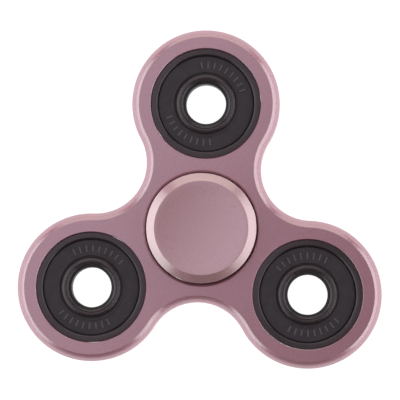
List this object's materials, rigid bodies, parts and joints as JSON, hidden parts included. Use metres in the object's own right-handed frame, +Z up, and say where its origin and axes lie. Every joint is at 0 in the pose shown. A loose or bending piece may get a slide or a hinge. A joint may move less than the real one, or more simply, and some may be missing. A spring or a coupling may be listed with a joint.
{
  "type": "fidget spinner",
  "caption": "Lobed aluminium fidget spinner that turns on a sealed ball bearing held between finger caps, with a free-turning weight bearing in each lobe.",
  "frame": {"origin": "centre of the bottom finger cap's flat face, on the spin axis, where the spinner rests on a table", "axes": "+Z up the spin axis towards the top finger cap; +Y towards the middle of lobe a; +X to its right"},
  "size_m": [0.073, 0.0671, 0.013],
  "materials": {
    "rose_anodised_body": "satin anodised, fine bead-blasted grain",
    "rose_anodised_cap": "satin anodised, finely turned",
    "black_steel_ring": "black-finished hardened steel, ground and turned faces",
    "seal_rubber": "moulded black rubber, matt with raised marks",
    "ball_steel": "polished hardened steel",
    "cage_nylon": "moulded nylon"
  },
  "bodies": {
    "hub": {"bottom_finger_cap": "rose_anodised_cap", "top_finger_cap": "rose_anodised_cap", "centre_inner_ring": "black_steel_ring"},
    "rotor": {"spinner_body": "rose_anodised_body", "centre_outer_ring": "black_steel_ring", "lobe_a_outer_ring": "black_steel_ring", "lobe_b_outer_ring": "black_steel_ring", "lobe_c_outer_ring": "black_steel_ring", "centre_top_seal": "seal_rubber", "lobe_a_top_seal": "seal_rubber", "lobe_b_top_seal": "seal_rubber", "lobe_c_top_seal": "seal_rubber", "centre_bottom_seal": "seal_rubber", "lobe_a_bottom_seal": "seal_rubber", "lobe_b_bottom_seal": "seal_rubber", "lobe_c_bottom_seal": "seal_rubber"},
    "centre_cage": {"centre_cage": "cage_nylon"},
    "centre_ball_1": {"centre_ball_1": "ball_steel"},
    "centre_ball_2": {"centre_ball_2": "ball_steel"},
    "centre_ball_3": {"centre_ball_3": "ball_steel"},
    "centre_ball_4": {"centre_ball_4": "ball_steel"},
    "centre_ball_5": {"centre_ball_5": "ball_steel"},
    "centre_ball_6": {"centre_ball_6": "ball_steel"},
    "centre_ball_7": {"centre_ball_7": "ball_steel"},
    "lobe_a_inner": {"lobe_a_inner_ring": "black_steel_ring"},
    "lobe_a_cage": {"lobe_a_cage": "cage_nylon"},
    "lobe_a_ball_1": {"lobe_a_ball_1": "ball_steel"},
    "lobe_a_ball_2": {"lobe_a_ball_2": "ball_steel"},
    "lobe_a_ball_3": {"lobe_a_ball_3": "ball_steel"},
    "lobe_a_ball_4": {"lobe_a_ball_4": "ball_steel"},
    "lobe_a_ball_5": {"lobe_a_ball_5": "ball_steel"},
    "lobe_a_ball_6": {"lobe_a_ball_6": "ball_steel"},
    "lobe_a_ball_7": {"lobe_a_ball_7": "ball_steel"},
    "lobe_b_inner": {"lobe_b_inner_ring": "black_steel_ring"},
    "lobe_b_cage": {"lobe_b_cage": "cage_nylon"},
    "lobe_b_ball_1": {"lobe_b_ball_1": "ball_steel"},
    "lobe_b_ball_2": {"lobe_b_ball_2": "ball_steel"},
    "lobe_b_ball_3": {"lobe_b_ball_3": "ball_steel"},
    "lobe_b_ball_4": {"lobe_b_ball_4": "ball_steel"},
    "lobe_b_ball_5": {"lobe_b_ball_5": "ball_steel"},
    "lobe_b_ball_6": {"lobe_b_ball_6": "ball_steel"},
    "lobe_b_ball_7": {"lobe_b_ball_7": "ball_steel"},
    "lobe_c_inner": {"lobe_c_inner_ring": "black_steel_ring"},
    "lobe_c_cage": {"lobe_c_cage": "cage_nylon"},
    "lobe_c_ball_1": {"lobe_c_ball_1": "ball_steel"},
    "lobe_c_ball_2": {"lobe_c_ball_2": "ball_steel"},
    "lobe_c_ball_3": {"lobe_c_ball_3": "ball_steel"},
    "lobe_c_ball_4": {"lobe_c_ball_4": "ball_steel"},
    "lobe_c_ball_5": {"lobe_c_ball_5": "ball_steel"},
    "lobe_c_ball_6": {"lobe_c_ball_6": "ball_steel"},
    "lobe_c_ball_7": {"lobe_c_ball_7": "ball_steel"}
  },
  "joints": [
    {"name": "spin", "type": "hinge", "parent": "hub", "child": "rotor", "pos_m": [0, 0, 0.0065], "axis": [0, 0, 1], "continuous": true},
    {"name": "centre_cage_orbit", "type": "hinge", "parent": "hub", "child": "centre_cage", "pos_m": [0, 0, 0.0065], "axis": [0, 0, 1], "continuous": true},
    {"name": "centre_ball_1_roll", "type": "hinge", "parent": "centre_cage", "child": "centre_ball_1", "pos_m": [0, 0.0075, 0.0065], "axis": [0, 0, 1], "continuous": true},
    {"name": "centre_ball_2_roll", "type": "hinge", "parent": "centre_cage", "child": "centre_ball_2", "pos_m": [-0.00586, 0.00468, 0.0065], "axis": [0, 0, 1], "continuous": true},
    {"name": "centre_ball_3_roll", "type": "hinge", "parent": "centre_cage", "child": "centre_ball_3", "pos_m": [-0.00731, -0.00167, 0.0065], "axis": [0, 0, 1], "continuous": true},
    {"name": "centre_ball_4_roll", "type": "hinge", "parent": "centre_cage", "child": "centre_ball_4", "pos_m": [-0.00325, -0.00676, 0.0065], "axis": [0, 0, 1], "continuous": true},
    {"name": "centre_ball_5_roll", "type": "hinge", "parent": "centre_cage", "child": "centre_ball_5", "pos_m": [0.00325, -0.00676, 0.0065], "axis": [0, 0, 1], "continuous": true},
    {"name": "centre_ball_6_roll", "type": "hinge", "parent": "centre_cage", "child": "centre_ball_6", "pos_m": [0.00731, -0.00167, 0.0065], "axis": [0, 0, 1], "continuous": true},
    {"name": "centre_ball_7_roll", "type": "hinge", "parent": "centre_cage", "child": "centre_ball_7", "pos_m": [0.00586, 0.00468, 0.0065], "axis": [0, 0, 1], "continuous": true},
    {"name": "lobe_a_inner_spin", "type": "hinge", "parent": "rotor", "child": "lobe_a_inner", "pos_m": [0, 0.025, 0.0065], "axis": [0, 0, 1], "continuous": true},
    {"name": "lobe_a_cage_orbit", "type": "hinge", "parent": "rotor", "child": "lobe_a_cage", "pos_m": [0, 0.025, 0.0065], "axis": [0, 0, 1], "continuous": true},
    {"name": "lobe_a_ball_1_roll", "type": "hinge", "parent": "lobe_a_cage", "child": "lobe_a_ball_1", "pos_m": [0, 0.0325, 0.0065], "axis": [0, 0, 1], "continuous": true},
    {"name": "lobe_a_ball_2_roll", "type": "hinge", "parent": "lobe_a_cage", "child": "lobe_a_ball_2", "pos_m": [-0.00586, 0.02968, 0.0065], "axis": [0, 0, 1], "continuous": true},
    {"name": "lobe_a_ball_3_roll", "type": "hinge", "parent": "lobe_a_cage", "child": "lobe_a_ball_3", "pos_m": [-0.00731, 0.02333, 0.0065], "axis": [0, 0, 1], "continuous": true},
    {"name": "lobe_a_ball_4_roll", "type": "hinge", "parent": "lobe_a_cage", "child": "lobe_a_ball_4", "pos_m": [-0.00325, 0.01824, 0.0065], "axis": [0, 0, 1], "continuous": true},
    {"name": "lobe_a_ball_5_roll", "type": "hinge", "parent": "lobe_a_cage", "child": "lobe_a_ball_5", "pos_m": [0.00325, 0.01824, 0.0065], "axis": [0, 0, 1], "continuous": true},
    {"name": "lobe_a_ball_6_roll", "type": "hinge", "parent": "lobe_a_cage", "child": "lobe_a_ball_6", "pos_m": [0.00731, 0.02333, 0.0065], "axis": [0, 0, 1], "continuous": true},
    {"name": "lobe_a_ball_7_roll", "type": "hinge", "parent": "lobe_a_cage", "child": "lobe_a_ball_7", "pos_m": [0.00586, 0.02968, 0.0065], "axis": [0, 0, 1], "continuous": true},
    {"name": "lobe_b_inner_spin", "type": "hinge", "parent": "rotor", "child": "lobe_b_inner", "pos_m": [-0.02165, -0.0125, 0.0065], "axis": [0, 0, 1], "continuous": true},
    {"name": "lobe_b_cage_orbit", "type": "hinge", "parent": "rotor", "child": "lobe_b_cage", "pos_m": [-0.02165, -0.0125, 0.0065], "axis": [0, 0, 1], "continuous": true},
    {"name": "lobe_b_ball_1_roll", "type": "hinge", "parent": "lobe_b_cage", "child": "lobe_b_ball_1", "pos_m": [-0.02815, -0.01625, 0.0065], "axis": [0, 0, 1], "continuous": true},
    {"name": "lobe_b_ball_2_roll", "type": "hinge", "parent": "lobe_b_cage", "child": "lobe_b_ball_2", "pos_m": [-0.02277, -0.01992, 0.0065], "axis": [0, 0, 1], "continuous": true},
    {"name": "lobe_b_ball_3_roll", "type": "hinge", "parent": "lobe_b_cage", "child": "lobe_b_ball_3", "pos_m": [-0.01655, -0.018, 0.0065], "axis": [0, 0, 1], "continuous": true},
    {"name": "lobe_b_ball_4_roll", "type": "hinge", "parent": "lobe_b_cage", "child": "lobe_b_ball_4", "pos_m": [-0.01417, -0.01194, 0.0065], "axis": [0, 0, 1], "continuous": true},
    {"name": "lobe_b_ball_5_roll", "type": "hinge", "parent": "lobe_b_cage", "child": "lobe_b_ball_5", "pos_m": [-0.01743, -0.0063, 0.0065], "axis": [0, 0, 1], "continuous": true},
    {"name": "lobe_b_ball_6_roll", "type": "hinge", "parent": "lobe_b_cage", "child": "lobe_b_ball_6", "pos_m": [-0.02386, -0.00533, 0.0065], "axis": [0, 0, 1], "continuous": true},
    {"name": "lobe_b_ball_7_roll", "type": "hinge", "parent": "lobe_b_cage", "child": "lobe_b_ball_7", "pos_m": [-0.02863, -0.00976, 0.0065], "axis": [0, 0, 1], "continuous": true},
    {"name": "lobe_c_inner_spin", "type": "hinge", "parent": "rotor", "child": "lobe_c_inner", "pos_m": [0.02165, -0.0125, 0.0065], "axis": [0, 0, 1], "continuous": true},
    {"name": "lobe_c_cage_orbit", "type": "hinge", "parent": "rotor", "child": "lobe_c_cage", "pos_m": [0.02165, -0.0125, 0.0065], "axis": [0, 0, 1], "continuous": true},
    {"name": "lobe_c_ball_1_roll", "type": "hinge", "parent": "lobe_c_cage", "child": "lobe_c_ball_1", "pos_m": [0.02815, -0.01625, 0.0065], "axis": [0, 0, 1], "continuous": true},
    {"name": "lobe_c_ball_2_roll", "type": "hinge", "parent": "lobe_c_cage", "child": "lobe_c_ball_2", "pos_m": [0.02863, -0.00976, 0.0065], "axis": [0, 0, 1], "continuous": true},
    {"name": "lobe_c_ball_3_roll", "type": "hinge", "parent": "lobe_c_cage", "child": "lobe_c_ball_3", "pos_m": [0.02386, -0.00533, 0.0065], "axis": [0, 0, 1], "continuous": true},
    {"name": "lobe_c_ball_4_roll", "type": "hinge", "parent": "lobe_c_cage", "child": "lobe_c_ball_4", "pos_m": [0.01743, -0.0063, 0.0065], "axis": [0, 0, 1], "continuous": true},
    {"name": "lobe_c_ball_5_roll", "type": "hinge", "parent": "lobe_c_cage", "child": "lobe_c_ball_5", "pos_m": [0.01417, -0.01194, 0.0065], "axis": [0, 0, 1], "continuous": true},
    {"name": "lobe_c_ball_6_roll", "type": "hinge", "parent": "lobe_c_cage", "child": "lobe_c_ball_6", "pos_m": [0.01655, -0.018, 0.0065], "axis": [0, 0, 1], "continuous": true},
    {"name": "lobe_c_ball_7_roll", "type": "hinge", "parent": "lobe_c_cage", "child": "lobe_c_ball_7", "pos_m": [0.02277, -0.01992, 0.0065], "axis": [0, 0, 1], "continuous": true}
  ],
  "couplings": [
    {"joint": "centre_cage_orbit", "follows": "spin", "ratio": 0.6323},
    {"joint": "centre_ball_1_roll", "follows": "spin", "ratio": 1.7573},
    {"joint": "centre_ball_2_roll", "follows": "spin", "ratio": 1.7573},
    {"joint": "centre_ball_3_roll", "follows": "spin", "ratio": 1.7573},
    {"joint": "centre_ball_4_roll", "follows": "spin", "ratio": 1.7573},
    {"joint": "centre_ball_5_roll", "follows": "spin", "ratio": 1.7573},
    {"joint": "centre_ball_6_roll", "follows": "spin", "ratio": 1.7573},
    {"joint": "centre_ball_7_roll", "follows": "spin", "ratio": 1.7573},
    {"joint": "lobe_a_cage_orbit", "follows": "lobe_a_inner_spin", "ratio": 0.3677},
    {"joint": "lobe_a_ball_1_roll", "follows": "lobe_a_inner_spin", "ratio": -1.7573},
    {"joint": "lobe_a_ball_2_roll", "follows": "lobe_a_inner_spin", "ratio": -1.7573},
    {"joint": "lobe_a_ball_3_roll", "follows": "lobe_a_inner_spin", "ratio": -1.7573},
    {"joint": "lobe_a_ball_4_roll", "follows": "lobe_a_inner_spin", "ratio": -1.7573},
    {"joint": "lobe_a_ball_5_roll", "follows": "lobe_a_inner_spin", "ratio": -1.7573},
    {"joint": "lobe_a_ball_6_roll", "follows": "lobe_a_inner_spin", "ratio": -1.7573},
    {"joint": "lobe_a_ball_7_roll", "follows": "lobe_a_inner_spin", "ratio": -1.7573},
    {"joint": "lobe_b_cage_orbit", "follows": "lobe_b_inner_spin", "ratio": 0.3677},
    {"joint": "lobe_b_ball_1_roll", "follows": "lobe_b_inner_spin", "ratio": -1.7573},
    {"joint": "lobe_b_ball_2_roll", "follows": "lobe_b_inner_spin", "ratio": -1.7573},
    {"joint": "lobe_b_ball_3_roll", "follows": "lobe_b_inner_spin", "ratio": -1.7573},
    {"joint": "lobe_b_ball_4_roll", "follows": "lobe_b_inner_spin", "ratio": -1.7573},
    {"joint": "lobe_b_ball_5_roll", "follows": "lobe_b_inner_spin", "ratio": -1.7573},
    {"joint": "lobe_b_ball_6_roll", "follows": "lobe_b_inner_spin", "ratio": -1.7573},
    {"joint": "lobe_b_ball_7_roll", "follows": "lobe_b_inner_spin", "ratio": -1.7573},
    {"joint": "lobe_c_cage_orbit", "follows": "lobe_c_inner_spin", "ratio": 0.3677},
    {"joint": "lobe_c_ball_1_roll", "follows": "lobe_c_inner_spin", "ratio": -1.7573},
    {"joint": "lobe_c_ball_2_roll", "follows": "lobe_c_inner_spin", "ratio": -1.7573},
    {"joint": "lobe_c_ball_3_roll", "follows": "lobe_c_inner_spin", "ratio": -1.7573},
    {"joint": "lobe_c_ball_4_roll", "follows": "lobe_c_inner_spin", "ratio": -1.7573},
    {"joint": "lobe_c_ball_5_roll", "follows": "lobe_c_inner_spin", "ratio": -1.7573},
    {"joint": "lobe_c_ball_6_roll", "follows": "lobe_c_inner_spin", "ratio": -1.7573},
    {"joint": "lobe_c_ball_7_roll", "follows": "lobe_c_inner_spin", "ratio": -1.7573}
  ]
}
